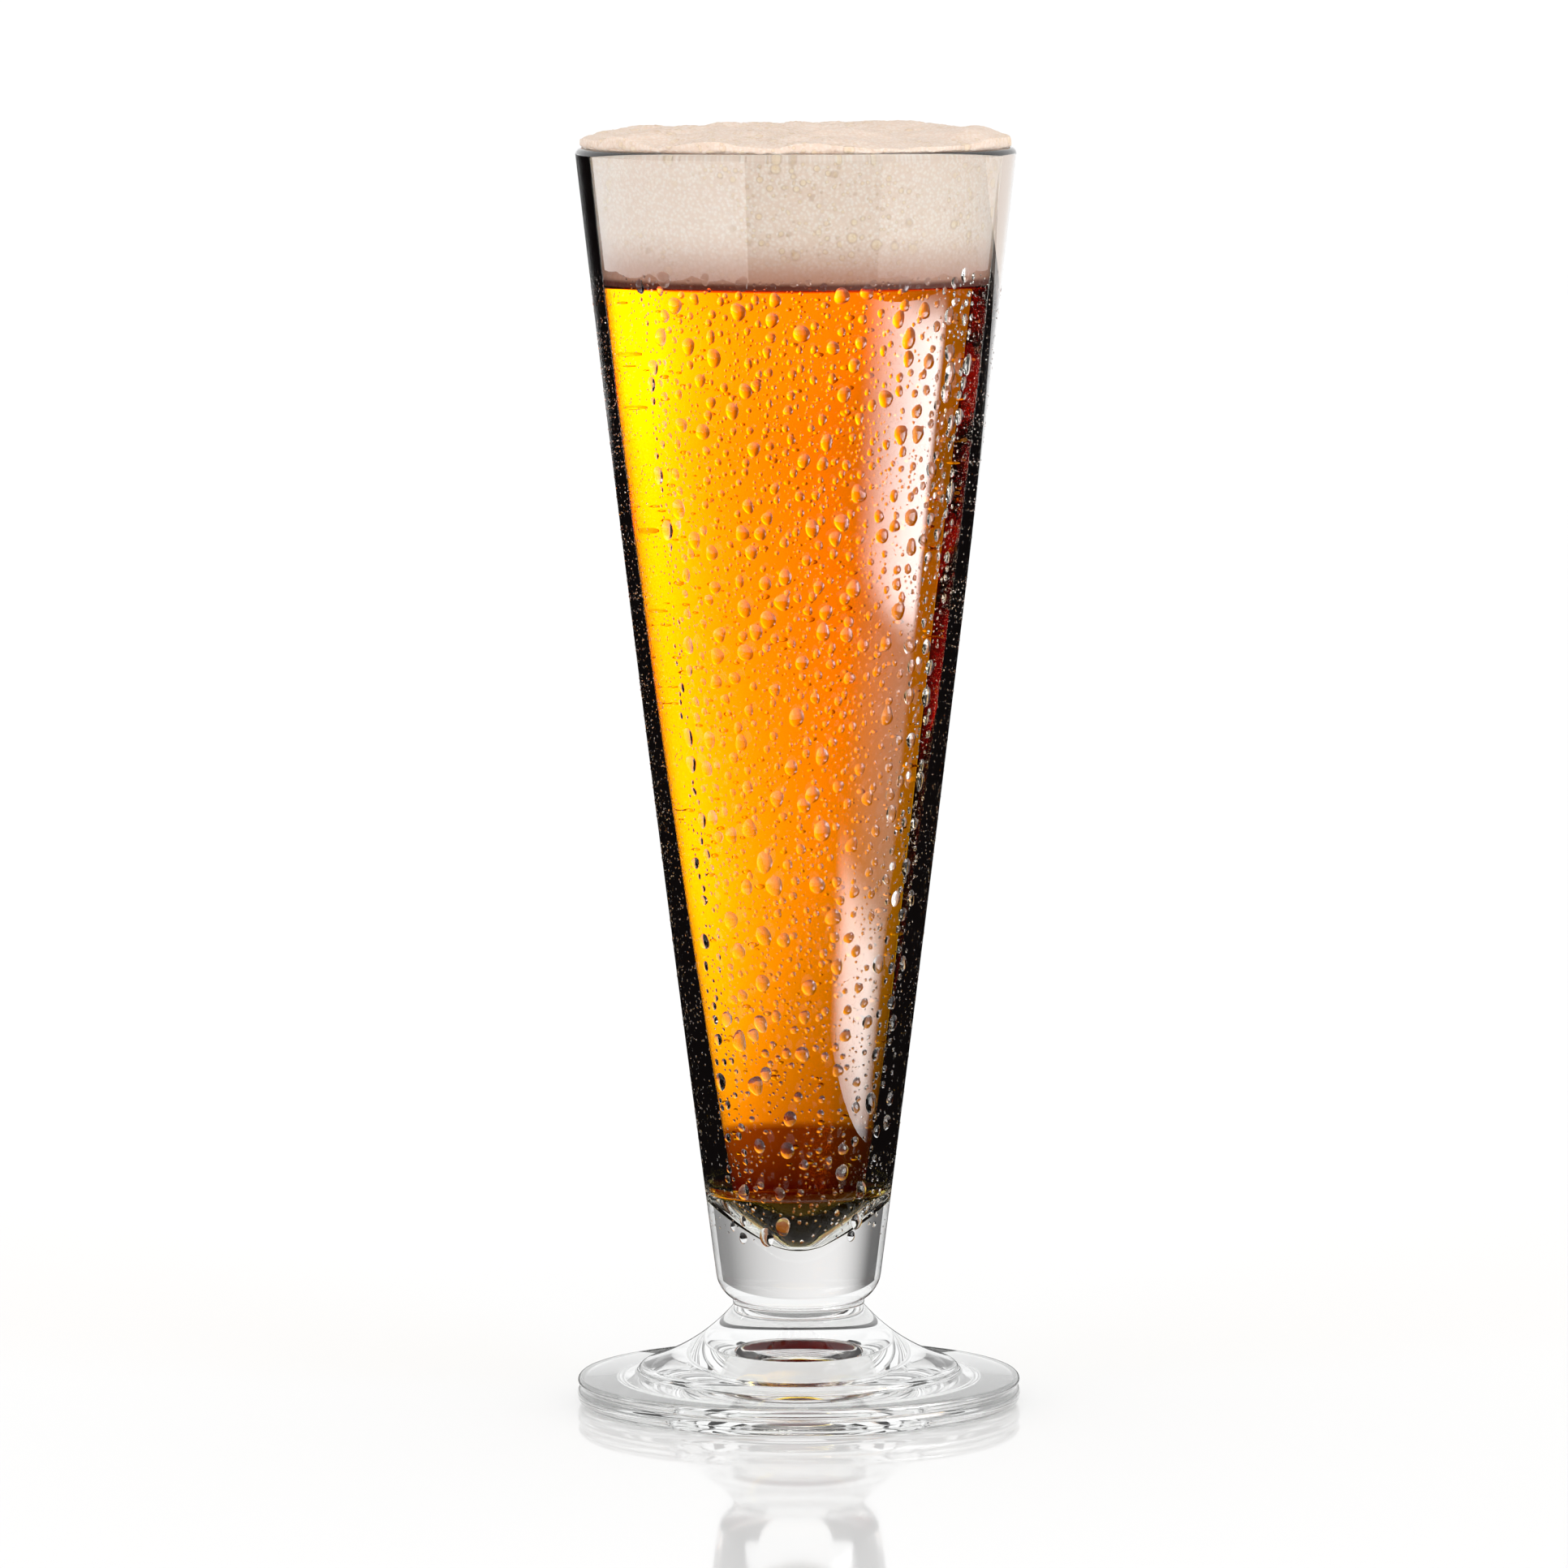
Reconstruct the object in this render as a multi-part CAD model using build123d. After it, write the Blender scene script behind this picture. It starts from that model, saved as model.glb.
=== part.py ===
from build123d import *
import os

# Footed pilsner glass, full of lager under a head of foam, with dew on the outside of the bowl.
# Millimetres, +Z up. The origin is the middle of the foot, on the surface that the glass stands on.

# Foot: a pressed disc with a bell that rises to the neck
FOOT_DIAMETER = 76.0
FOOT_EDGE_HEIGHT = 4.9
EDGE_WAIST_HEIGHT = 3.2
EDGE_WAIST_DEPTH = 0.4
EDGE_BEAD_HEIGHT = 1.6
BELL_DIAMETER = 55.2
BELL_FOOT_HEIGHT = 5.6
BELL_SHOULDER_HEIGHT = 1.5
BELL_SHOULDER_WIDTH = 1.2
BELL_HOLLOW = 1.3
NECK_TOP_HEIGHT = 17.2
STAND_RING_WIDTH = 6.0
STAND_RING_RELIEF = 0.6
PUNTY_DIAMETER = 31.0
PUNTY_DRAFT = 2.0
PUNTY_DEPTH = 6.0
PUNTY_CROWN = 1.8

# Merese: the bead of glass that fuses the bowl to the neck
JOINT_DIAMETER = 22.2
MERESE_THICKNESS = 0.9
MERESE_BULGE = 0.2

# Bowl: a long cone on a thick solid base
BOWL_HEIGHT = 197.6
RIM_DIAMETER = 75.0
RIM_WALL = 2.3
LIP_HEIGHT = 1.1
BASE_DIAMETER = 28.3
BASE_CORNER_HEIGHT = 4.4
WALL_BULGE = 0.35
FLOOR_THICKNESS = 9.6
FLOOR_DIAMETER = 22.6
FLOOR_RISE = 9.0
FLOOR_TIP_DIAMETER = 6.0
FLOOR_TIP_SAG = 0.95
FLOOR_BULGE = 0.4
CAVITY_BULGE = 1.5

# Drink: beer up to the foam, foam over the rim
FOAM_DEPTH = 22.8
FOAM_CROWN = 4.5
FOAM_EDGE_HEIGHT = 1.8
FOAM_INSET = 0.6
DRINK_GAP = 0.1

# Dew: drops scattered round the bowl, over the wall less a run at each end
DROP_COUNT = 72
DROP_DIAMETER_SMALL = 1.6
DROP_DIAMETER_LARGE = 3.4
DROP_FLATNESS = 0.36
DROP_RUN_START = 22.0
DROP_RUN_END = 20.0
GOLDEN_ANGLE = 137.508

# Heights of the joints, stacked from the table up
MERESE_BOTTOM = NECK_TOP_HEIGHT
BOWL_BOTTOM = MERESE_BOTTOM + MERESE_THICKNESS
RIM_TOP = BOWL_BOTTOM + BOWL_HEIGHT
BEER_TOP = RIM_TOP - FOAM_DEPTH


def turned(edges):
    """Solid of revolution about Z from a closed chain of edges drawn as (radius, height)."""
    return revolve(Plane.XZ * make_face(edges), Axis.Z)


def bowed(start, end, bulge):
    """Shallow arc from start to end that stands out by bulge, to the right of the way it runs."""
    chord = Vector(*end) - Vector(*start)
    out = Vector(chord.Y, -chord.X).normalized()
    middle = (Vector(*start) + Vector(*end)) / 2 + out * bulge
    return ThreePointArc(start, (middle.X, middle.Y), end)


def outer_wall():
    """The bowl's outer wall, from the top of the base corner to the start of the lip."""
    foot = (BASE_DIAMETER / 2, BOWL_BOTTOM + BASE_CORNER_HEIGHT)
    return bowed(foot, (RIM_DIAMETER / 2, RIM_TOP - LIP_HEIGHT), WALL_BULGE)


def cavity_wall(gap=0.0):
    """The bowl's inner wall, from the floor to the start of the lip, or a wall that gap inside it."""
    foot = (FLOOR_DIAMETER / 2 - gap, BOWL_BOTTOM + FLOOR_THICKNESS + FLOOR_RISE + gap)
    return bowed(foot, (RIM_DIAMETER / 2 - RIM_WALL - gap, RIM_TOP - LIP_HEIGHT), CAVITY_BULGE)


def cavity_floor(gap=0.0):
    """The cavity's cone and its rounded tip, from the axis out to the foot of the wall."""
    tip = BOWL_BOTTOM + FLOOR_THICKNESS + gap
    tip_edge = (FLOOR_TIP_DIAMETER / 2, tip + FLOOR_TIP_SAG)
    return [
        TangentArc((0, tip), tip_edge, tangent=(1, 0)),
        bowed(tip_edge, tuple(cavity_wall(gap) @ 0)[:2], FLOOR_BULGE),
    ]


def make_foot():
    """Disc, bell and neck top as one pressing, with a punty hollow and a stand ring underneath."""
    rim = FOOT_DIAMETER / 2
    bead = (rim, EDGE_BEAD_HEIGHT)
    waist = (rim - EDGE_WAIST_DEPTH, EDGE_WAIST_HEIGHT)
    lip = (rim, (EDGE_WAIST_HEIGHT + FOOT_EDGE_HEIGHT) / 2)
    edge_top = (rim - EDGE_WAIST_DEPTH, FOOT_EDGE_HEIGHT)
    stand_out = rim - EDGE_BEAD_HEIGHT
    stand_in = stand_out - STAND_RING_WIDTH
    bell_foot = (BELL_DIAMETER / 2, BELL_FOOT_HEIGHT)
    shoulder = (BELL_DIAMETER / 2 - BELL_SHOULDER_WIDTH, BELL_FOOT_HEIGHT + BELL_SHOULDER_HEIGHT)
    neck = (JOINT_DIAMETER / 2, NECK_TOP_HEIGHT)
    punty = PUNTY_DIAMETER / 2
    punty_top = STAND_RING_RELIEF + PUNTY_DEPTH
    return turned(
        [
            TangentArc(bead, (stand_out, 0), tangent=(0, -1)),
            TangentArc(bead, waist, tangent=(0, 1)),
            TangentArc(lip, waist, tangent=(0, -1)),
            TangentArc(lip, edge_top, tangent=(0, 1)),
            Line(edge_top, bell_foot),
            TangentArc(bell_foot, shoulder, tangent=(0, 1)),
            bowed(neck, shoulder, BELL_HOLLOW),
            Line(neck, (0, NECK_TOP_HEIGHT)),
            Line((0, NECK_TOP_HEIGHT), (0, punty_top + PUNTY_CROWN)),
            TangentArc((0, punty_top + PUNTY_CROWN), (punty - PUNTY_DRAFT, punty_top), tangent=(1, 0)),
            Line((punty - PUNTY_DRAFT, punty_top), (punty, STAND_RING_RELIEF)),
            Line((punty, STAND_RING_RELIEF), (stand_in - STAND_RING_RELIEF, STAND_RING_RELIEF)),
            Line((stand_in - STAND_RING_RELIEF, STAND_RING_RELIEF), (stand_in, 0)),
            Line((stand_in, 0), (stand_out, 0)),
        ]
    )


def make_merese():
    """Round-edged disc between the neck and the bowl."""
    edge = JOINT_DIAMETER / 2
    low, high = (edge, MERESE_BOTTOM), (edge, BOWL_BOTTOM)
    return turned(
        [
            Line((0, MERESE_BOTTOM), low),
            bowed(low, high, MERESE_BULGE),
            Line(high, (0, BOWL_BOTTOM)),
            Line((0, BOWL_BOTTOM), (0, MERESE_BOTTOM)),
        ]
    )


def make_bowl():
    """Thick base, conical wall, rounded lip and the cavity that holds the drink."""
    outside, inside = outer_wall(), cavity_wall()
    seat = (JOINT_DIAMETER / 2, BOWL_BOTTOM)
    lip_top = (RIM_DIAMETER / 2 - RIM_WALL / 2, RIM_TOP)
    tip = BOWL_BOTTOM + FLOOR_THICKNESS
    return turned(
        [
            Line((0, BOWL_BOTTOM), seat),
            TangentArc(outside @ 0, seat, tangent=(outside % 0) * -1),
            outside,
            ThreePointArc(outside @ 1, lip_top, inside @ 1),
            inside,
            *cavity_floor(),
            Line((0, tip), (0, BOWL_BOTTOM)),
        ]
    )


def make_beer():
    """What fills the cavity up to the foam, a hair clear of the glass."""
    wall = cavity_wall(DRINK_GAP)
    top = wall @ 1
    tip = BOWL_BOTTOM + FLOOR_THICKNESS + DRINK_GAP
    drink = turned([*cavity_floor(DRINK_GAP), wall, Line(top, (0, top.Y)), Line((0, top.Y), (0, tip))])
    return split(drink, bisect_by=Plane.XY.offset(BEER_TOP), keep=Keep.BOTTOM)


def make_foam_head():
    """Froth that sits on the beer, fills the bowl to the lip and swells over the rim."""
    wall = cavity_wall(DRINK_GAP)
    neck = wall @ 1
    over = RIM_TOP + DRINK_GAP
    edge = RIM_DIAMETER / 2 - FOAM_INSET
    crown_edge = (edge, over + FOAM_EDGE_HEIGHT)
    crown = (0, RIM_TOP + FOAM_CROWN)
    tip = BOWL_BOTTOM + FLOOR_THICKNESS + DRINK_GAP
    froth = turned(
        [
            *cavity_floor(DRINK_GAP),
            wall,
            Line(neck, (neck.X, over)),
            Line((neck.X, over), (edge, over)),
            Line((edge, over), crown_edge),
            TangentArc(crown, crown_edge, tangent=(1, 0)),
            Line(crown, (0, tip)),
        ]
    )
    return split(froth, bisect_by=Plane.XY.offset(BEER_TOP), keep=Keep.TOP)


def make_drop(diameter):
    """Cap of water with a flat back on the XY plane."""
    edge, crest = (diameter / 2, 0), (0, diameter * DROP_FLATNESS)
    return turned([Line((0, 0), edge), TangentArc(crest, edge, tangent=(1, 0)), Line(crest, (0, 0))])


def make_dew():
    """Drops spread evenly up and round the outer wall, each with its back against the glass."""
    wall = outer_wall()
    drops = []
    for number in range(DROP_COUNT):
        share = (number + 0.5) / DROP_COUNT
        along = (DROP_RUN_START + (wall.length - DROP_RUN_START - DROP_RUN_END) * share) / wall.length
        place, rising = wall @ along, wall % along
        back = Plane(
            origin=(place.X, 0, place.Y),
            x_dir=(0, 1, 0),
            z_dir=(rising.Y, 0, -rising.X),
        )
        growth = (number * GOLDEN_ANGLE / 360) % 1
        diameter = DROP_DIAMETER_SMALL + (DROP_DIAMETER_LARGE - DROP_DIAMETER_SMALL) * growth**2
        drops.append(Rot(Z=number * GOLDEN_ANGLE) * back.location * make_drop(diameter))
    return Compound(drops)


PARTS = {
    "foot": make_foot,
    "merese": make_merese,
    "bowl": make_bowl,
    "beer": make_beer,
    "foam_head": make_foam_head,
    "dew_drops": make_dew,
}

os.makedirs("parts", exist_ok=True)
for name, make in PARTS.items():
    solid = make()
    export_step(solid, f"parts/{name}.step")
    print(f"{name}: {solid.volume / 1000:.2f} ml")
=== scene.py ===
"""Footed pilsner glass of lager: the turned glass, the drink, its froth and dew, and a studio for them."""

import math
import random

import bpy
from bpy.props import FloatProperty, FloatVectorProperty, IntProperty, PointerProperty
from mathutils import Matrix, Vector, noise


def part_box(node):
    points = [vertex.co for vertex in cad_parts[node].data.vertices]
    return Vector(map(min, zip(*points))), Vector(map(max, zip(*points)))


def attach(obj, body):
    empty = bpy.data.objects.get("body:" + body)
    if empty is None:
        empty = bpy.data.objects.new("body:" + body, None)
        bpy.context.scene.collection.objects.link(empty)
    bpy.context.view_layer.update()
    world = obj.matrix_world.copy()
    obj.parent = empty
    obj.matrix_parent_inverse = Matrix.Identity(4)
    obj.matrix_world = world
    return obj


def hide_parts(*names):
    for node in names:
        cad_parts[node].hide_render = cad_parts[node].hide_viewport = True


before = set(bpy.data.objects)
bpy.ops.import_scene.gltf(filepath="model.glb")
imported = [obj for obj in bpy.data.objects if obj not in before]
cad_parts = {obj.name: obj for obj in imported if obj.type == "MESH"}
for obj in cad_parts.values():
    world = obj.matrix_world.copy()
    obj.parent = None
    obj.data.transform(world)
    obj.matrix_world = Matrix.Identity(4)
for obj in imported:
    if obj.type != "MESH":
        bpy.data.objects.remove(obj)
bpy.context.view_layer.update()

bl_info = {
    "name": "Pilsner Glass",
    "version": (1, 0, 0),
    "blender": (4, 5, 0),
    "location": "3D View > Sidebar > Pilsner",
    "description": "Builds a footed pilsner glass full of lager over its packed CAD frame",
    "category": "Object",
}

MM = 0.001

# How strongly glass, beer and water bend light
GLASS_INDEX = 1.52
BEER_INDEX = 1.34
WATER_INDEX = 1.333

# Depth of the ripples that the mould leaves in the glass
FOOT_RIPPLE = 0.010 * MM
MERESE_RIPPLE = 0.004 * MM
BOWL_RIPPLE = 0.003 * MM

WHITE = (1.0, 1.0, 1.0, 1.0)
BLACK = (0.0, 0.0, 0.0, 1.0)


def top_of(node):
    """Highest point of a CAD node, in metres."""
    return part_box(node)[1][2]


def bottom_of(node):
    """Lowest point of a CAD node, in metres."""
    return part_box(node)[0][2]


def radius_of(node):
    """Largest radius of a round CAD node, in metres."""
    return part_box(node)[1][0]


def length(name, default, description):
    """A size in metres that a user can change."""
    return FloatProperty(
        name=name, description=description, default=default, min=0.0, precision=5, unit="LENGTH"
    )


def colour(name, default, description):
    """A colour that a user can change."""
    return FloatVectorProperty(
        name=name, description=description, default=default, size=4, min=0.0, max=1.0, subtype="COLOR"
    )


def amount(name, default, description, high=100.0):
    """A plain number that a user can change."""
    return FloatProperty(name=name, description=description, default=default, min=0.0, max=high, precision=4)


def count(name, default, description):
    """A whole number that a user can change."""
    return IntProperty(name=name, description=description, default=default, min=1)


class GlassSizes(bpy.types.PropertyGroup):
    """Sizes of the foot, merese and bowl that the frame's boxes don't give."""

    segments: count("Segments", 256, "Steps round the glass")
    joint: length("Joint radius", 11.1 * MM, "Radius of the fused joint at the neck")
    bulge: length("Merese bulge", 0.2 * MM, "How far the merese's edge stands out")
    rim_wall: length("Rim wall", 2.3 * MM, "Thickness of the wall at the lip")
    lip: length("Lip height", 1.1 * MM, "Height of the rounded lip")
    base: length("Base radius", 14.15 * MM, "Outer radius just above the base corner")
    corner: length("Base corner", 4.4 * MM, "Height of the rounded base corner")
    wall_bow: length("Wall bow", 0.35 * MM, "How far the outer wall bows out of straight")
    floor: length("Floor thickness", 9.6 * MM, "Glass under the tip of the cavity")
    floor_radius: length("Floor radius", 11.3 * MM, "Inner radius at the foot of the wall")
    floor_rise: length("Floor rise", 9.0 * MM, "Height of the cavity's cone")
    tip_radius: length("Tip radius", 3.0 * MM, "Radius of the cone's rounded tip")
    tip_sag: length("Tip sag", 0.95 * MM, "Depth of the cone's rounded tip")
    floor_bow: length("Floor bow", 0.4 * MM, "How far the cone bows out of straight")
    cavity_bow: length("Cavity bow", 1.5 * MM, "How far the inner wall bows out of straight")
    edge: length("Foot edge height", 4.9 * MM, "Height of the foot's edge")
    waist: length("Edge waist height", 3.2 * MM, "Height of the waist between the edge's two beads")
    waist_depth: length("Edge waist depth", 0.4 * MM, "Depth of the waist between the edge's two beads")
    bead: length("Edge bead height", 1.6 * MM, "Height of the lower bead's widest point")
    bell: length("Bell radius", 27.6 * MM, "Radius where the bell meets the disc")
    bell_foot: length("Bell foot height", 5.6 * MM, "Height where the bell meets the disc")
    shoulder_height: length("Shoulder height", 1.5 * MM, "Height of the bell's rounded shoulder")
    shoulder_width: length("Shoulder width", 1.2 * MM, "Width of the bell's rounded shoulder")
    bell_hollow: length("Bell hollow", 1.3 * MM, "How far the bell bows in of straight")
    ring: length("Stand ring width", 6.0 * MM, "Width of the flat ring that the glass stands on")
    relief: length("Stand ring relief", 0.6 * MM, "How far the underside lies above the stand ring")
    punty: length("Punty radius", 15.5 * MM, "Radius of the hollow under the foot")
    punty_draft: length("Punty draft", 2.0 * MM, "How far the hollow's side leans in")
    punty_depth: length("Punty depth", 6.0 * MM, "Depth of the hollow's side")
    punty_crown: length("Punty crown", 1.8 * MM, "Rise of the hollow's domed roof")
    round: length("Edge round", 0.35 * MM, "Radius of the fire-polished rounds on the foot's corners")


class DrinkSizes(bpy.types.PropertyGroup):
    """Sizes of the beer and of the froth's relief."""

    gap: length("Gap", 0.1 * MM, "Clearance between the drink and the glass")
    wet: length("Wetting", 0.03 * MM, "How far the beer reaches into the cone's glass, which it wets")
    meniscus: length("Meniscus", 0.5 * MM, "How far the beer's edge climbs the wall")
    froth_segments: count("Froth segments", 512, "Steps round the froth")
    froth_edge: length("Froth edge", 1.5 * MM, "Height of the froth's edge above the rim")
    swell: length("Swell", 1.3 * MM, "Height of the froth's slow waves")
    bubble: length("Bubble", 0.75 * MM, "Usual width of a bubble in the froth")
    bubble_height: length("Bubble height", 0.16 * MM, "How far a bubble stands out of the froth")
    lump: length("Lump", 0.5 * MM, "Height of the lumps on the froth's crown")
    hole_width: length("Open bubble", 2.2 * MM, "Width of the froth's open bubbles")


class DewSizes(bpy.types.PropertyGroup):
    """How many drops stand on the bowl, and how large they are."""

    drops: count("Drops", 6200, "Drops of all sizes")
    smallest: length("Smallest", 0.16 * MM, "Radius of the smallest drops")
    largest: length("Largest", 1.45 * MM, "Radius of the largest drops")
    lowest: length("Lowest", 30.0 * MM, "Height of the lowest drops")
    behind: amount("Behind", 0.2, "Share of the drops that stay on the glass's far side", 1.0)
    sink: length("Sink", 0.03 * MM, "How far a drop's back lies inside the glass")
    seed: count("Seed", 41, "Start of the scatter")


class Finishes(bpy.types.PropertyGroup):
    """Colours of the glass, the drink and the water."""

    glass: colour("Glass", (0.985, 0.992, 0.99, 1.0), "Tint of the clear glass")
    lager: colour("Lager", (0.9952, 0.888, 0.0, 1.0), "Colour that passes through the beer")
    lager_density: amount("Lager density", 250.0, "How fast the beer takes up light, per metre", 2000.0)
    froth_pale: colour("Pale froth", (0.9, 0.81, 0.73, 1.0), "Froth where the bubbles are small")
    froth_warm: colour("Warm froth", (0.8, 0.62, 0.5, 1.0), "Froth between the bubbles")
    froth_low: colour("Low froth", (0.46, 0.2, 0.12, 1.0), "Froth next to the beer")
    froth_foot_line: colour("Froth foot line", (0.12, 0.02, 0.006, 1.0), "Line where the froth stands in the beer")
    froth_ring: colour("Bubble rims", (0.5, 0.32, 0.22, 1.0), "Rims of the large bubbles")
    # Painted shade: darkens the froth above the rim, which the lamps light more strongly than the froth
    # behind the glass
    froth_rim_shade: colour("Froth rim shade", (0.5, 0.38, 0.3, 1.0), "Painted shade on the froth above the rim")
    bubble: colour("Large bubbles", (0.88, 0.7, 0.42, 1.0), "Beer-coloured film of the large bubbles")
    water: colour("Water", (0.99, 0.99, 1.0, 1.0), "Tint of the dew")


class StageSettings(bpy.types.PropertyGroup):
    """Camera, floor and studio cards."""

    distance: length("Camera distance", 1.6404, "How far the camera stands in front of the glass")
    height: length("Camera height", 0.2702, "How high the camera stands")
    sideways: length("Camera offset", 1.9 * MM, "How far the camera stands to the left")
    pitch: amount("Camera pitch", 5.684, "How far the camera looks down, in degrees")
    roll: amount("Camera roll", 0.14, "How far the camera leans, in degrees")
    lens: amount("Lens", 221.3, "Focal length on a 36 mm sensor, in millimetres", 1000.0)
    floor: colour("Floor", (0.93, 0.93, 0.93, 1.0), "Floor and surroundings")
    glow: amount("Surroundings", 1.0, "Brightness of what surrounds the glass")
    back_card: amount("Back card", 7.4, "Brightness of the golden card behind the beer")
    strip: amount("Strip light", 18.0, "Brightness of the tall strip light at the right")
    window: amount("Windows", 2.4, "Brightness of the windows that the glass mirrors below the rim")


SETTINGS = {
    "pilsner_glass": GlassSizes,
    "pilsner_drink": DrinkSizes,
    "pilsner_dew": DewSizes,
    "pilsner_finish": Finishes,
    "pilsner_stage": StageSettings,
}


# Lines that the turned pieces are drawn with, as (radius, height) in metres


def bowed(start, end, bow, steps):
    """Points of a shallow arc that stands out by bow, to the right of the way it runs."""
    run, rise = end[0] - start[0], end[1] - start[1]
    span = math.hypot(run, rise)
    points = []
    for step in range(steps + 1):
        t = step / steps
        out = 4 * bow * t * (1 - t) / span
        points.append((start[0] + run * t + rise * out, start[1] + rise * t - run * out))
    return points


def swept(start, end, heading, steps):
    """Points of the arc that leaves start along heading and ends at end."""
    heading = Vector(heading).normalized()
    chord = Vector(end) - Vector(start)
    side = Vector((-heading.y, heading.x))
    lean = side.dot(chord)
    if abs(lean) < 1e-12:
        return [tuple(Vector(start).lerp(Vector(end), step / steps)) for step in range(steps + 1)]
    radius = chord.length_squared / (2 * lean)
    middle = Vector(start) + side * radius
    turn = 2 * math.atan2(lean, heading.dot(chord))
    arm = Vector(start) - middle
    points = []
    for step in range(steps + 1):
        angle = turn * step / steps
        spun = Vector((
            arm.x * math.cos(angle) - arm.y * math.sin(angle),
            arm.x * math.sin(angle) + arm.y * math.cos(angle),
        ))
        points.append(tuple(middle + spun))
    return points


def rounded(before, corner, after, radius, steps=5):
    """Points that round the corner between two straight or nearly straight lines."""
    into, away = Vector(before) - Vector(corner), Vector(after) - Vector(corner)
    reach = min(radius, into.length * 0.45, away.length * 0.45)
    first = Vector(corner) + into.normalized() * reach
    last = Vector(corner) + away.normalized() * reach
    points = []
    for step in range(steps + 1):
        t = step / steps
        points.append(tuple(first * (1 - t) ** 2 + Vector(corner) * 2 * t * (1 - t) + last * t * t))
    return points


def chain(*runs):
    """One line from several, without the points that repeat."""
    line = []
    for run in runs:
        for point in run:
            if not line or math.dist(line[-1], point) > 1e-7:
                line.append(tuple(point))
    return line


def outer_wall(size, steps):
    """The bowl's outer wall, from the base corner to the lip."""
    foot = (size.base, bottom_of("bowl") + size.corner)
    return bowed(foot, (radius_of("bowl"), top_of("bowl") - size.lip), size.wall_bow, steps)


def cavity_wall(size, gap, steps):
    """The bowl's inner wall from the floor to the lip, or a line that gap inside it."""
    foot = (size.floor_radius - gap, bottom_of("bowl") + size.floor + size.floor_rise + gap)
    lip = (radius_of("bowl") - size.rim_wall - gap, top_of("bowl") - size.lip)
    return bowed(foot, lip, size.cavity_bow, steps)


def cavity_floor(size, gap, steps):
    """The cavity's cone, from its tip on the axis to the foot of the wall."""
    tip = bottom_of("bowl") + size.floor + gap
    edge = (size.tip_radius, tip + size.tip_sag)
    foot = cavity_wall(size, gap, 1)[0]
    return chain(swept((0, tip), edge, (1, 0), steps), bowed(edge, foot, size.floor_bow, steps))


def radius_at(line, height):
    """Radius of a rising line at a height."""
    for (r0, z0), (r1, z1) in zip(line, line[1:]):
        if z0 <= height <= z1:
            return r0 + (r1 - r0) * (height - z0) / (z1 - z0)
    raise ValueError(f"no wall at height {height}")


# Meshes


def new_piece(name, vertices, faces, material, node):
    """A smooth mesh object that stands for a CAD node and rides on the glass."""
    mesh = bpy.data.meshes.new(name)
    mesh.from_pydata(vertices, [], faces)
    mesh.validate()
    mesh.shade_smooth()
    mesh.set_sharp_from_angle(angle=math.radians(42))
    mesh.materials.append(material)
    piece = bpy.data.objects.new(name, mesh)
    bpy.context.scene.collection.objects.link(piece)
    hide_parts(node)
    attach(piece, "root")
    return piece


def turned(line, segments):
    """Vertices and faces of a line that starts and ends on the axis, turned about Z."""
    vertices, faces = [(0, 0, line[0][1])], []
    for radius, height in line[1:-1]:
        for step in range(segments):
            angle = 2 * math.pi * step / segments
            vertices.append((radius * math.cos(angle), radius * math.sin(angle), height))
    vertices.append((0, 0, line[-1][1]))
    last = len(vertices) - 1
    rows = len(line) - 2
    for step in range(segments):
        after = (step + 1) % segments
        faces.append((0, 1 + after, 1 + step))
        top = 1 + (rows - 1) * segments
        faces.append((last, top + step, top + after))
        for row in range(rows - 1):
            low = 1 + row * segments
            high = low + segments
            faces.append((low + step, low + after, high + after, high + step))
    return vertices, faces


def seal(piece, material, heights):
    """Gives a fused seam's material to the flat faces at these heights, where glass runs on into glass."""
    piece.data.materials.append(material)
    for face in piece.data.polygons:
        if abs(face.normal.z) > 0.999 and any(abs(face.center.z - height) < 1e-6 for height in heights):
            face.material_index = 1


# Materials


class Wire:
    """A node's output. Arithmetic on it adds Math nodes, so that a mask reads like a formula."""

    def __init__(self, finish, socket):
        self.finish, self.socket = finish, socket

    def math(self, operation, *terms):
        """The Math node of that operation on these terms."""
        return self.finish.node("ShaderNodeMath", {"operation": operation}, dict(enumerate(terms)))[0]

    def __add__(self, other):
        return self.math("ADD", self, other)

    __radd__ = __add__

    def __sub__(self, other):
        return self.math("SUBTRACT", self, other)

    def __rsub__(self, other):
        return self.math("SUBTRACT", other, self)

    def __mul__(self, other):
        return self.math("MULTIPLY", self, other)

    __rmul__ = __mul__

    def __or__(self, other):
        return self.math("MAXIMUM", self, other)

    def above(self, least):
        """1 above a number and 0 below it."""
        return self.math("GREATER_THAN", self, least)

    def step(self, low, high):
        """0 below low, 1 above high and a smooth rise between."""
        settings = {"interpolation_type": "SMOOTHSTEP"}
        inputs = {"Value": self, "From Min": low, "From Max": high}
        return self.finish.node("ShaderNodeMapRange", settings, inputs)[0]


class Made:
    """A node whose outputs are read by name or number."""

    def __init__(self, finish, node):
        self.finish, self.inner = finish, node

    def __getitem__(self, key):
        return Wire(self.finish, self.inner.outputs[key])


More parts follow.
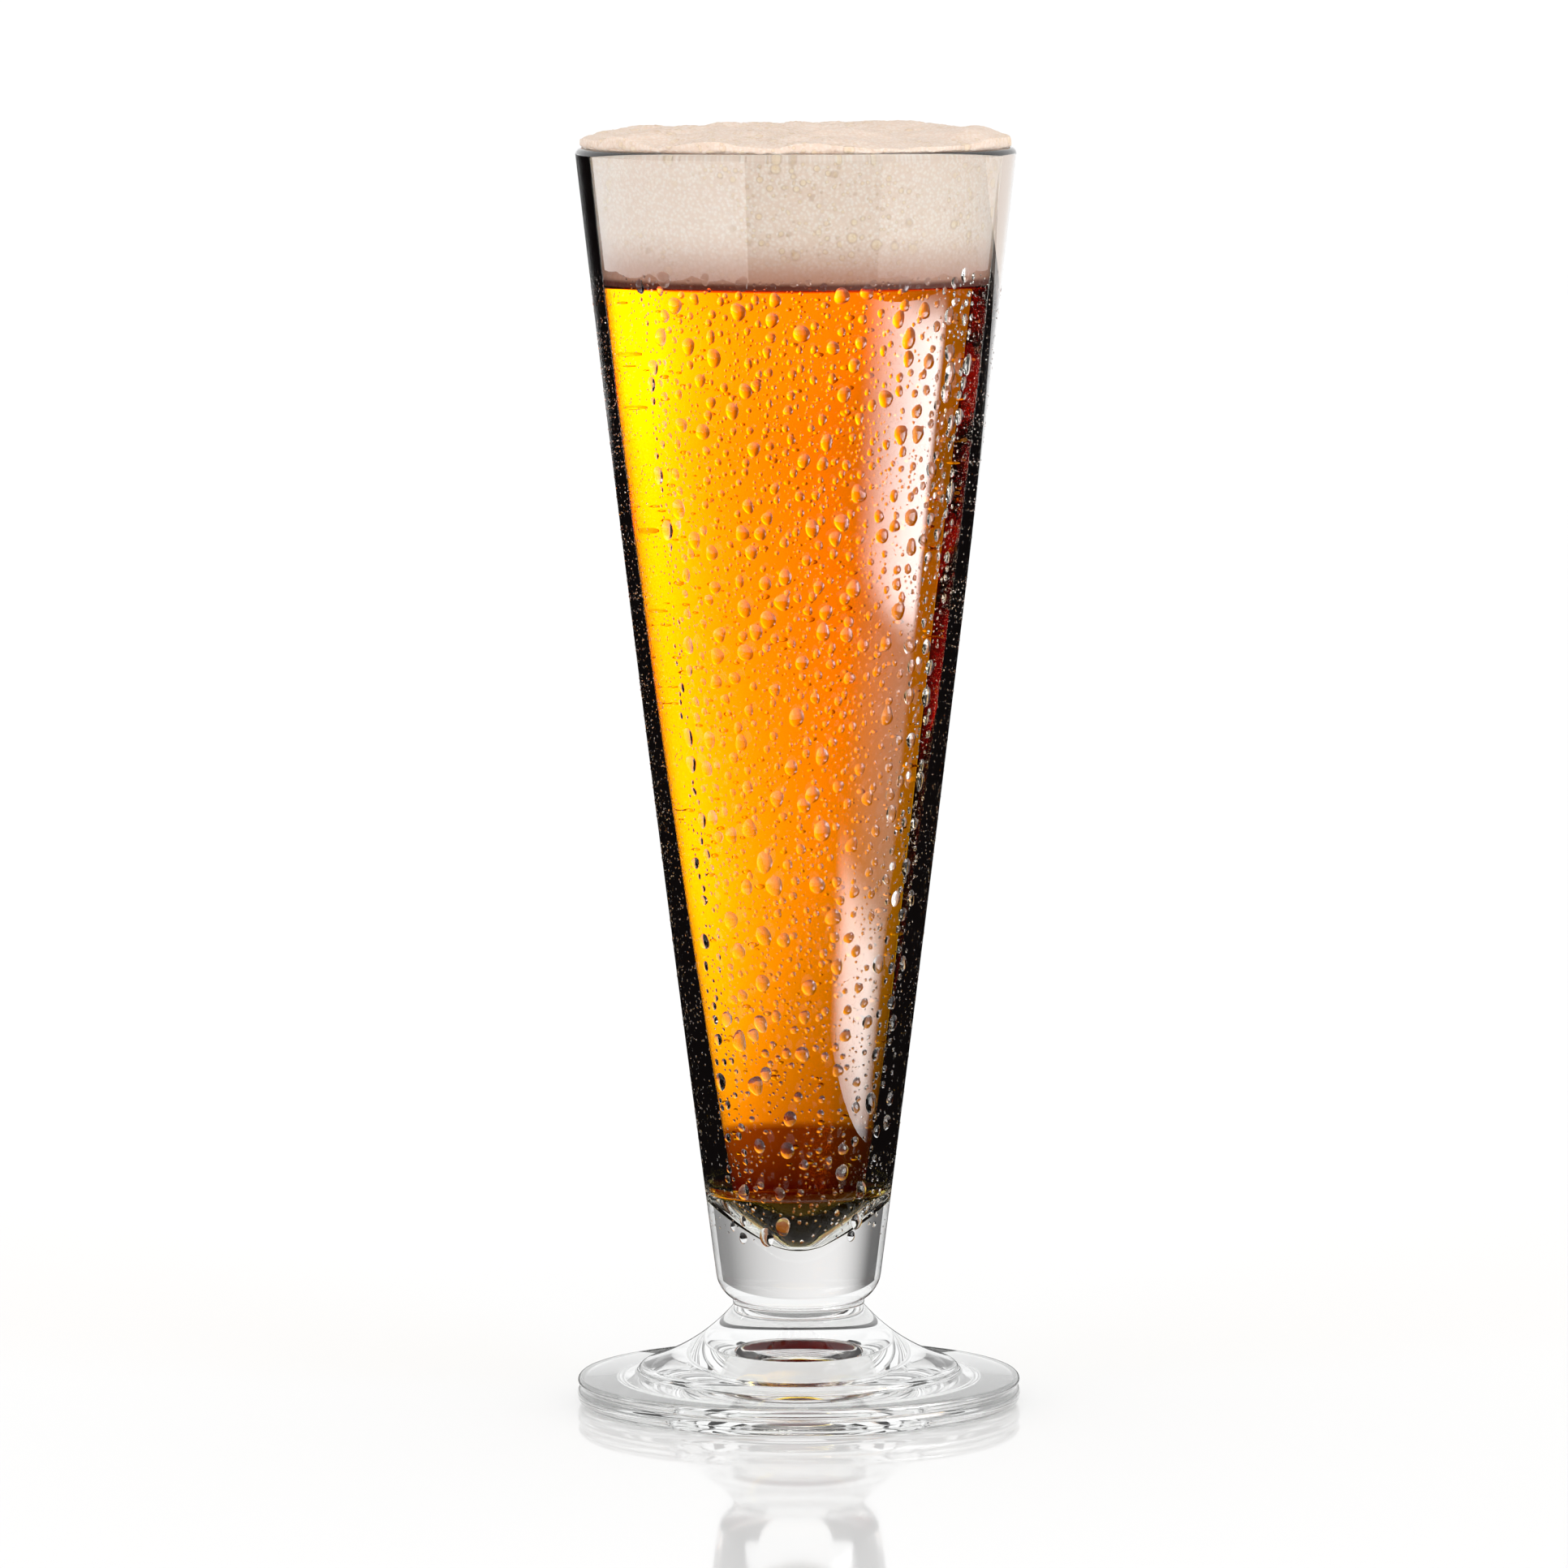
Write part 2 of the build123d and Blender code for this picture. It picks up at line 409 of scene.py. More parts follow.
class Finish:
    """The node tree of a material or world while it is wired."""

    def __init__(self, owner):
        owner.use_nodes = True
        self.owner, self.tree = owner, owner.node_tree
        self.tree.nodes.clear()

    def node(self, kind, settings=None, inputs=None):
        """A new node: its settings first, then the values or links of its sockets."""
        made = self.tree.nodes.new(kind)
        for key, value in (settings or {}).items():
            if key == "stops":
                ramp = made.color_ramp
                while len(ramp.elements) < len(value):
                    ramp.elements.new(0.5)
                for element, (place, shade) in zip(ramp.elements, value):
                    element.position, element.color = place, shade
            else:
                setattr(made, key, value)
        for key, value in (inputs or {}).items():
            if isinstance(value, Wire):
                self.tree.links.new(value.socket, made.inputs[key])
            else:
                made.inputs[key].default_value = value
        return Made(self, made)

    def place(self):
        """Position on the object, in metres."""
        return self.node("ShaderNodeTexCoord")["Object"]

    def noise(self, width, detail=2.0, roughness=0.5):
        """Soft noise whose lumps are about that wide, from 0 to 1."""
        settings = {"normalize": True}
        inputs = {"Vector": self.place(), "Scale": 1 / width, "Detail": detail, "Roughness": roughness}
        return self.node("ShaderNodeTexNoise", settings, inputs)["Fac"]

    def cells(self, width):
        """Cells about that wide: the distance to their middle, in cell widths, and a colour for each."""
        inputs = {"Vector": self.place(), "Scale": 1 / width}
        return self.node("ShaderNodeTexVoronoi", {"feature": "F1"}, inputs)

    def blend(self, share, first, second):
        """A colour between two colours."""
        return self.node("ShaderNodeMix", {"data_type": "RGBA"}, {0: share, 6: first, 7: second})[2]

    def bump(self, height, depth, strength=1.0):
        """Normals of a relief that deep."""
        inputs = {"Height": height, "Distance": depth, "Strength": strength}
        return self.node("ShaderNodeBump", None, inputs)[0]

    def surface(self, shader, volume=None):
        """Ends the tree with a surface, and a volume where there is one."""
        inputs = {"Surface": shader}
        if volume:
            inputs["Volume"] = volume
        self.node("ShaderNodeOutputMaterial", None, inputs)
        return self.owner


def lets_light_through(finish, shader, tint):
    """The shader, but clear to rays that ask what light a point gets, so that lamps reach what is inside."""
    shadow = finish.node("ShaderNodeLightPath")["Is Shadow Ray"]
    clear = finish.node("ShaderNodeBsdfTransparent", None, {"Color": tint})["BSDF"]
    return finish.node("ShaderNodeMixShader", None, {0: shadow, 1: shader, 2: clear})[0]


def clear_glass(ripple, index=GLASS_INDEX):
    """Polished soda-lime glass with faint ripples from the mould and a few wiped smears."""
    name = f"clear_glass_{round(ripple / MM * 10000)}_{round(index * 100)}"
    if name in bpy.data.materials:
        return bpy.data.materials[name]
    finish = Finish(bpy.data.materials.new(name))
    colours = bpy.context.scene.pilsner_finish
    smear = finish.noise(9 * MM, 4.0, 0.6).step(0.62, 0.8)
    shader = finish.node(
        "ShaderNodeBsdfPrincipled",
        None,
        {
            "Base Color": colours.glass,
            "Roughness": smear * 0.012,
            "IOR": index,
            "Transmission Weight": 1.0,
            "Normal": finish.bump(finish.noise(14 * MM, 1.0), ripple),
        },
    )["BSDF"]
    return finish.surface(lets_light_through(finish, shader, (0.97, 0.98, 0.98, 1.0)))


def fused_seam():
    """Where two gathers of glass have run together: nothing shows."""
    if "fused_seam" in bpy.data.materials:
        return bpy.data.materials["fused_seam"]
    finish = Finish(bpy.data.materials.new("fused_seam"))
    return finish.surface(finish.node("ShaderNodeBsdfPrincipled", None, {"Alpha": 0.0})["BSDF"])


def lager(foot):
    """Clear golden beer, coloured by how much of it the light crosses. Below foot it wets the glass."""
    finish = Finish(bpy.data.materials.new("lager"))
    colours = bpy.context.scene.pilsner_finish
    height = finish.node("ShaderNodeSeparateXYZ", None, {0: finish.place()})["Z"]
    clear = {"Base Color": WHITE, "Roughness": 0.0, "Transmission Weight": 1.0, "IOR": BEER_INDEX}
    wetting = finish.node("ShaderNodeBsdfPrincipled", None, {"Alpha": 0.0})["BSDF"]
    free = finish.node("ShaderNodeBsdfPrincipled", None, clear)["BSDF"]
    fade = 0.2 * MM
    apart = height.step(foot - fade, foot + fade)
    shader = finish.node("ShaderNodeMixShader", None, {0: apart, 1: wetting, 2: free})[0]
    volume = finish.node(
        "ShaderNodeVolumeAbsorption", None, {"Color": colours.lager, "Density": colours.lager_density}
    )[0]
    return finish.surface(lets_light_through(finish, shader, WHITE), volume)


def froth():
    """Froth of packed bubbles: pale, browner towards the beer, with some larger beer-coloured bubbles, and
    painted shade above the rim.
    """
    finish = Finish(bpy.data.materials.new("froth"))
    colours = bpy.context.scene.pilsner_finish
    drink = bpy.context.scene.pilsner_drink
    level = bottom_of("foam_head")
    height = finish.node("ShaderNodeSeparateXYZ", None, {0: finish.place()})["Z"]
    fine = finish.cells(drink.bubble * 0.8)["Distance"]
    mottle = finish.noise(6 * MM, 3.0)
    shade = finish.blend(fine.step(0.15, 0.7) * 0.6 + mottle * 0.35, colours.froth_pale, colours.froth_warm)
    relief = (1 - fine) * 0.35 + mottle * 0.2
    for width, share in ((1.1 * MM, 0.4), (1.9 * MM, 0.45), (drink.hole_width * 1.5, 0.55)):
        cell = finish.cells(width)
        kept = finish.node("ShaderNodeSeparateColor", None, {0: cell["Color"]})[0].step(share, share + 0.02)
        patch = finish.noise(14 * MM, 1.0).step(0.38, 0.52)
        disc = (1 - cell["Distance"].step(0.25, 0.3)) * kept * patch
        ring = cell["Distance"].step(0.2, 0.27) * (1 - cell["Distance"].step(0.3, 0.36)) * kept * patch
        shade = finish.blend(disc * 0.4, shade, colours.bubble)
        shade = finish.blend(ring * 0.3, shade, colours.froth_ring)
        relief = relief + disc * 0.4
    shade = finish.blend((1 - height.step(level, level + 10 * MM)) * 0.95, shade, colours.froth_low)
    # A dark line along the froth's foot, where it meets the beer
    shade = finish.blend(1 - height.step(level + 0.6 * MM, level + 1.6 * MM), shade, colours.froth_foot_line)
    # Painted shade: the froth above the rim is darkened, since the lamps reach it there without glass between
    # and light it more strongly
    rim = top_of("bowl")
    shade = finish.blend(height.step(rim - 0.5 * MM, rim + 0.5 * MM) * 0.35, shade, colours.froth_rim_shade)
    shader = finish.node(
        "ShaderNodeBsdfPrincipled",
        None,
        {
            "Base Color": shade,
            "Roughness": 0.55 + fine * 0.3,
            "Subsurface Weight": 0.25,
            "Subsurface Radius": (1.0, 0.7, 0.5),
            "Subsurface Scale": 0.8 * MM,
            "Normal": finish.bump(relief, 0.14 * MM, 0.8),
        },
    )["BSDF"]
    return finish.surface(shader)


def dew_water():
    """Drops of clear water."""
    finish = Finish(bpy.data.materials.new("dew_water"))
    colours = bpy.context.scene.pilsner_finish
    shader = finish.node(
        "ShaderNodeBsdfPrincipled",
        None,
        {
            "Base Color": colours.water,
            "Roughness": 0.0,
            "IOR": WATER_INDEX,
            "Transmission Weight": 1.0,
            "Normal": finish.bump(finish.noise(0.6 * MM, 0.0), 0.01 * MM),
        },
    )["BSDF"]
    return finish.surface(lets_light_through(finish, shader, WHITE))


# Pieces


class PILSNER_OT_foot(bpy.types.Operator):
    """Turns the pressed foot: beaded disc, bell, stand ring and punty hollow"""

    bl_idname = "pilsner.foot"
    bl_label = "Foot"

    def execute(self, context):
        size = context.scene.pilsner_glass
        rim, top = radius_of("foot"), top_of("foot")
        bead, waist = (rim, size.bead), (rim - size.waist_depth, size.waist)
        lip = (rim, (size.waist + size.edge) / 2)
        edge = (rim - size.waist_depth, size.edge)
        stand_out = (rim - size.bead, 0)
        stand_in = (stand_out[0] - size.ring, 0)
        under = (stand_in[0] - size.relief, size.relief)
        mouth = (size.punty, size.relief)
        roof = (size.punty - size.punty_draft, size.relief + size.punty_depth)
        crown = (0, roof[1] + size.punty_crown)
        bell = (size.bell, size.bell_foot)
        shoulder = (size.bell - size.shoulder_width, size.bell_foot + size.shoulder_height)
        roof_in = swept(crown, roof, (1, 0), 24)
        line = chain(
            roof_in[:-2],
            rounded(roof_in[-2], roof, mouth, size.round * 3),
            rounded(roof, mouth, under, size.round * 2),
            rounded(mouth, under, stand_in, size.round),
            rounded(under, stand_in, stand_out, size.round),
            swept(stand_out, bead, (1, 0), 14),
            list(reversed(swept(waist, bead, (bead[0] - waist[0], -0.4 * MM), 8))),
            rounded(bead, waist, lip, size.round),
            swept(lip, edge, (0, 1), 8),
            rounded(lip, edge, bell, size.round),
            rounded(edge, bell, (bell[0], bell[1] + size.shoulder_height), size.round * 2),
            swept(bell, shoulder, (0, 1), 10),
            list(reversed(bowed((size.joint, top), shoulder, size.bell_hollow, 48))),
            [(size.joint * share / 6, top) for share in range(5, -1, -1)],
        )
        vertices, faces = turned(line, size.segments)
        glass = clear_glass(FOOT_RIPPLE)
        piece = new_piece("foot_glass", vertices, faces, glass, "foot")
        seal(piece, fused_seam(), [top])
        return {"FINISHED"}


class PILSNER_OT_merese(bpy.types.Operator):
    """Turns the round-edged bead that fuses the bowl to the neck"""

    bl_idname = "pilsner.merese"
    bl_label = "Merese"

    def execute(self, context):
        size = context.scene.pilsner_glass
        low, high = bottom_of("merese"), top_of("merese")
        line = chain(
            [(size.joint * share / 6, low) for share in range(7)],
            bowed((size.joint, low), (size.joint, high), size.bulge, 12),
            [(size.joint * share / 6, high) for share in range(6, -1, -1)],
        )
        vertices, faces = turned(line, size.segments)
        glass = clear_glass(MERESE_RIPPLE)
        piece = new_piece("merese_glass", vertices, faces, glass, "merese")
        seal(piece, fused_seam(), [low, high])
        return {"FINISHED"}


class PILSNER_OT_bowl(bpy.types.Operator):
    """Turns the bowl: thick base, conical wall, fire-polished lip and cavity"""

    bl_idname = "pilsner.bowl"
    bl_label = "Bowl"

    def execute(self, context):
        size = context.scene.pilsner_glass
        low, rim = bottom_of("bowl"), top_of("bowl")
        outside, inside = outer_wall(size, 64), cavity_wall(size, 0.0, 64)
        sinking = Vector(outside[0]) - Vector(outside[1])
        corner = list(reversed(swept(outside[0], (size.joint, low), sinking, 18)))
        crest = (radius_of("bowl") - size.rim_wall / 2, rim)
        floor = list(reversed(cavity_floor(size, 0.0, 20)))
        outer_edge = tuple(Vector(outside[-1]).lerp(Vector(outside[-2]), 0.03))
        inner_edge = tuple(Vector(inside[-1]).lerp(Vector(inside[-2]), 0.03))
        line = chain(
            [(size.joint * share / 6, low) for share in range(7)],
            corner,
            outside[:-1],
            [outer_edge],
            list(reversed(swept(crest, outside[-1], (1, 0), 10))),
            swept(crest, inside[-1], (-1, 0), 10),
            [inner_edge],
            list(reversed(inside[2:-1])),
            rounded(inside[2], inside[0], floor[3], 4 * MM, 10),
            floor[3:],
        )
        vertices, faces = turned(line, size.segments)
        glass = clear_glass(BOWL_RIPPLE)
        piece = new_piece("bowl_glass", vertices, faces, glass, "bowl")
        seal(piece, fused_seam(), [low])
        self.wet(piece, *inside[0])
        return {"FINISHED"}

    def wet(self, piece, reach, foot):
        """Gives the faces of the cavity's cone the bend from glass into beer, which wets them."""
        piece.data.materials.append(clear_glass(BOWL_RIPPLE, GLASS_INDEX / BEER_INDEX))
        spare = 0.5 * MM
        tip = bottom_of("beer") - 2 * spare
        for face in piece.data.polygons:
            if tip < face.center.z < foot and face.center.xy.length < reach + spare:
                face.material_index = 2


class PILSNER_OT_beer(bpy.types.Operator):
    """Fills the cavity with beer that climbs a little at the wall"""

    bl_idname = "pilsner.beer"
    bl_label = "Beer"

    def execute(self, context):
        size, drink = context.scene.pilsner_glass, context.scene.pilsner_drink
        level = top_of("beer")
        wall = cavity_wall(size, drink.gap, 96)
        edge = radius_at(wall, level)
        floor = cavity_floor(size, -drink.wet, 20)
        foot = cavity_wall(size, -drink.wet, 1)[0]
        sides = [point for point in wall[3:] if point[1] < level - 0.5 * MM]
        reach = 5 * drink.meniscus
        climb = []
        for step in range(13):
            inward = reach * (step / 12) ** 1.6
            climb.append((edge - inward, level - drink.meniscus * (1 - math.exp(-3.2 * inward / reach))))
        flat = climb[-1][1]
        line = chain(
            floor[:-3],
            rounded(floor[-4], foot, wall[3], 4 * MM, 12),
            sides,
            climb,
            [(climb[-1][0] * share / 10, flat) for share in range(9, -1, -1)],
        )
        vertices, faces = turned(line, size.segments)
        new_piece("beer_fill", vertices, faces, lager(foot[1]), "beer")
        return {"FINISHED"}


# Widths of the froth's waves and lumps

SLOW_WAVE = 13 * MM
SHORT_WAVE = 6 * MM
EDGE_WAVE = 9 * MM
LUMP_WIDTH = 4.2 * MM


# Reach of a bubble's dome and of an open bubble's pit, as shares of the spacing, and the pits' wider spacing

DOME_REACH = 0.62
PIT_REACH = 0.3
PIT_SPACING = 1.6


class PILSNER_OT_foam(bpy.types.Operator):
    """Raises the froth: packed bubbles against the glass and a swollen, uneven crown over the rim"""

    bl_idname = "pilsner.foam"
    bl_label = "Foam head"

    def relief(self, place, drink):
        """How far the froth stands out at a place, from its packed and its open bubbles."""
        near = noise.voronoi(place / drink.bubble)[0]
        dome = max(0.0, 1 - (near[0] / DOME_REACH) ** 2)
        large = noise.voronoi(place / (drink.hole_width * PIT_SPACING) + Vector((7, 3, 1)))[0]
        pit = max(0.0, 1 - (large[0] / PIT_REACH) ** 2)
        return drink.bubble_height * (dome - 1.0 - 0.8 * pit)

    def on_crown(self, start, rim, crown, drink):
        """A point above the rim, moved by slow waves, an uneven edge, lumps and bubbles."""
        place = start.copy()
        wave = 1.3 * noise.noise(start / SLOW_WAVE + Vector((0.3, 4.1, 0)))
        wave += 0.5 * noise.noise(start / SHORT_WAVE)
        place.z += drink.swell * max(-1.0, min(1.0, wave)) * min(1.0, (start.z - rim) / (2 * MM))
        near_edge = min(1.0, math.hypot(start.x, start.y) / (30 * MM)) ** 4
        pull = 1 + 0.018 * (noise.noise(place / EDGE_WAVE) - 0.45) * near_edge
        place.x, place.y = place.x * pull, place.y * pull
        lump = noise.voronoi(start / LUMP_WIDTH)[0][0]
        place.z += self.relief(start, drink) + drink.lump * (max(0.0, 1 - lump**2) - 0.6)
        place.z = min(place.z, crown)
        return place

    def on_side(self, start, drink):
        """A point against the glass, moved in by the bubbles."""
        across = math.hypot(start.x, start.y)
        inward = self.relief(start, drink) * (across - 0.4 * MM) / across
        return Vector((start.x + start.x / across * inward, start.y + start.y / across * inward, start.z))

    def outline(self, size, drink, level, rim, crown):
        """The froth's line: its flat underside, its side in the bowl, the lap over the rim and the crown."""
        wall = cavity_wall(size, drink.gap, 96)
        overhang, inner = radius_of("foam_head"), wall[-1][0]
        side = [(radius_at(wall, level), level)]
        rows = 50
        for row in range(1, rows + 1):
            height = level + (wall[-1][1] - level) * row / rows
            side.append((radius_at(wall, height), height))
        over = rim + drink.gap
        lap = chain(
            [side[-1]],
            [(inner, over)],
            rounded((inner, over), (overhang, over), (overhang, crown), 0.7 * MM, 6),
        )
        line = [(side[0][0] * share / 8, level) for share in range(8)] + side + lap[1:]
        rings = 84
        top, edge_height = crown - 1.1 * drink.swell, over + drink.froth_edge
        for ring in range(rings + 1):
            share = 1 - ring / rings
            line.append((overhang * share, top - (top - edge_height) * share**5))
        return line

    def execute(self, context):
        size, drink = context.scene.pilsner_glass, context.scene.pilsner_drink
        level, rim, crown = bottom_of("foam_head"), top_of("bowl"), top_of("foam_head")
        vertices, faces = turned(self.outline(size, drink, level, rim, crown), drink.froth_segments)
        shaped = []
        for vertex in vertices:
            place = Vector(vertex)
            if place.z > rim + drink.gap * 1.5:
                place = self.on_crown(place, rim, crown, drink)
            elif math.hypot(place.x, place.y) > 1e-6 and place.z > level + 1e-5:
                place = self.on_side(place, drink)
            shaped.append(tuple(place))
        new_piece("froth_head", shaped, faces, froth(), "foam_head")
        return {"FINISHED"}


# Mesh steps of a drop, round it and up it, for drops up to a share of the largest

DROP_STEPS = ((0.18, 5, 2), (0.3, 7, 2), (0.55, 11, 3), (1.0, 18, 5))


# Stretches of the bowl with only fine dew: left or right, how far it faces the front, and the largest radius

FINE_DEW = (
    (-1, -0.3, 0.66, 0.22 * MM),
    (1, -0.2, 0.5, 0.2 * MM),
    (-1, -1.1, -0.2, 0.5 * MM),
    (1, -1.1, -0.2, 0.5 * MM),
)


class PILSNER_OT_dew(bpy.types.Operator):
    """Scatters drops of dew over the outside of the bowl"""

    bl_idname = "pilsner.dew"
    bl_label = "Dew"

    def too_large(self, radius, turn):
        """Whether a drop is larger than the dew on its stretch of the bowl."""
        facing, across = -math.sin(turn), math.cos(turn)
        for side, least, most, largest in FINE_DEW:
            if across * side > 0 and least < facing < most and radius > largest:
                return True
        return False

    def neighbours(self, taken, key):
        """The drops in a cell and in the cells round it."""
        return [
            other
            for column in (-1, 0, 1)
            for row in (-1, 0, 1)
            for other in taken.get((key[0] + column, key[1] + row), ())
        ]

    def scatter(self, sizes, wall, low, high):
        """Places and radii of drops that stand clear of each other, large ones first."""
        chance = random.Random(sizes.seed)
        radii = [sizes.smallest * (1 - chance.random()) ** (-0.52) for _ in range(sizes.drops)]
        radii = [min(radius, sizes.largest * chance.uniform(0.75, 1.0)) for radius in radii]
        radii.sort(reverse=True)
        cell = 2.2 * sizes.largest
        taken, drops = {}, []
        for radius in radii:
            for _ in range(30):
                height = math.sqrt(chance.uniform(low**2, high**2))
                turn = chance.uniform(0, 2 * math.pi)
                if self.too_large(radius, turn):
                    continue
                if chance.random() > max(sizes.behind, min(1.0, 0.45 - math.sin(turn))):
                    continue
                place = (turn * radius_at(wall, height), height)
                key = (int(place[0] // cell), int(place[1] // cell))
                near = self.neighbours(taken, key)
                if all(math.dist(place, other[:2]) > 1.25 * (radius + other[2]) for other in near):
                    taken.setdefault(key, []).append((*place, radius))
                    drops.append((turn, height, radius))
                    break
        return drops

    def bead(self, chance, radius, sizes):
        """A drop's points, as how far along, up and out of its middle they lie, and its faces."""
        large = radius / sizes.largest
        spokes, rings = next((around, rise) for most, around, rise in DROP_STEPS if large <= most)
        crest = radius * chance.uniform(0.42, 0.58) * (1 - 0.25 * large)
        stretch = chance.uniform(1.0, 1.12 + 0.3 * large)
        heavy = chance.uniform(0.0, 0.28) * min(1.0, 2 * large)
        waves = [(lobes, chance.uniform(0, 0.1), chance.uniform(0, 6.28)) for lobes in (2, 3)]
        points = []
        for ring in range(rings):
            share = 1 - ring / rings
            for spoke in range(spokes):
                angle = 2 * math.pi * spoke / spokes
                outline = radius
                for lobes, depth, start in waves:
                    outline *= 1 + depth * math.cos(lobes * angle + start)
                along = outline * share * math.cos(angle)
                up = outline * share * math.sin(angle) * stretch - heavy * radius * (1 - share**2)
                out = crest * (1 - share**2) ** 0.72 - (sizes.sink if ring == 0 else 0)
                points.append((along, up, out))
        points.append((0, -heavy * radius, crest))
        apex, last = len(points) - 1, (rings - 1) * spokes
        faces = [tuple(range(spokes - 1, -1, -1))]
        for spoke in range(spokes):
            after = (spoke + 1) % spokes
            for inner in range(0, last, spokes):
                outer = inner + spokes
                faces.append((inner + spoke, inner + after, outer + after, outer + spoke))
            faces.append((last + spoke, last + after, apex))
        return points, faces

    def on_wall(self, wall, lean, turn, height, along, up, out):
        """A point that far along, up and out of the wall from a drop's middle."""
        level = height + up * math.cos(lean)
        around = radius_at(wall, level)
        angle = turn + along / around
        across = around + out * math.cos(lean)
        return (across * math.cos(angle), across * math.sin(angle), level - out * math.sin(lean))

    def execute(self, context):
        size, sizes = context.scene.pilsner_glass, context.scene.pilsner_dew
        wall = outer_wall(size, 64)
        low, high = sizes.lowest, top_of("beer") + 2 * MM
        chance = random.Random(sizes.seed + 1)
        lean = math.atan2(wall[-1][0] - wall[0][0], wall[-1][1] - wall[0][1])
        vertices, faces = [], []
        for turn, height, radius in self.scatter(sizes, wall, low, high):
            points, sides = self.bead(chance, radius, sizes)
            first = len(vertices)
            vertices += [self.on_wall(wall, lean, turn, height, *point) for point in points]
            faces += [tuple(first + corner for corner in side) for side in sides]
        new_piece("dew_beads", vertices, faces, dew_water(), "dew_drops")
        return {"FINISHED"}


# Light paths that the studio's cards are shown to, by what they have crossed or met on the way

THROUGH_DRINK = {"Transmission Depth": (4.5, 99)}
THROUGH_BASE = {"Transmission Depth": (1.5, 4.5), "Ray Depth": (1.5, 2.5)}
INSIDE_WALLS = {"Ray Depth": (2.5, 99), "Transmission Depth": (-1, 4.5)}
UNDER_FOOT = {"Transmission Depth": (3.5, 4.5)}
MIRRORED = {"Is Glossy Ray": (0.5, 99)}
MIRRORED_INSIDE = {"Glossy Depth": (0.5, 99), "Transmission Depth": (0.5, 99)}
BESIDE_STRIP = {"Ray Length": (0.0, 0.14)}


# Colours that the cards glow with: painted light, as no lamp lights them

SOOT = (0.004, 0.003, 0.003, 1.0)
CREAM = (0.72, 0.6, 0.52, 1.0)
AMBER = (0.3, 0.1, 0.015, 1.0)
PEARL = (1.0, 0.985, 0.98, 1.0)


# The golden card's colours by height, the height that they are spread over, and how much brighter its top is

GOLDEN_COLOURS = (
    (0.03, (0.025, 0.001, 0.0, 1.0)),
    (0.0434, (0.1, 0.026, 0.0, 1.0)),
    (0.0444, (0.35, 0.165, 0.04, 1.0)),
    (0.09, (0.74, 0.54, 0.22, 1.0)),
    (0.134, (0.87, 0.66, 0.46, 1.0)),
    (0.18, (1.0, 1.0, 0.9, 1.0)),
)
GOLDEN_SPAN = 0.2
GOLDEN_TOP = 1.4


# Corners of the cards that stand at an angle, in metres: a fin that runs from the glass to the golden card's
# left edge, in line with the axis, and the strip light in front at the right

DARK_FIN = ((-0.0057, 0.015, 0.03), (-0.034, 0.09, 0.03), (-0.0285, 0.09, 0.24), (-0.0123, 0.0386, 0.24))
STRIP_LIGHT = ((0.093, -0.014, 0.02), (0.069, -0.131, 0.02), (0.069, -0.131, 0.162), (0.093, -0.014, 0.18))


# Windows at both sides: place, share of the light and front edge, and the outline that they share behind it

WINDOW_SILL = ((-0.133, 0.143), (-0.023, 0.1585), (0.083, 0.164), (0.152, 0.164), (0.152, 0.202))
WINDOWS = (
    ("window_left", -0.2, 1.0, ((-0.41, 0.152), (-0.41, 0.077), (-0.246, 0.1185))),
    ("window_right", 0.2, 0.5, ((-0.21, 0.172), (-0.21, 0.127))),
)


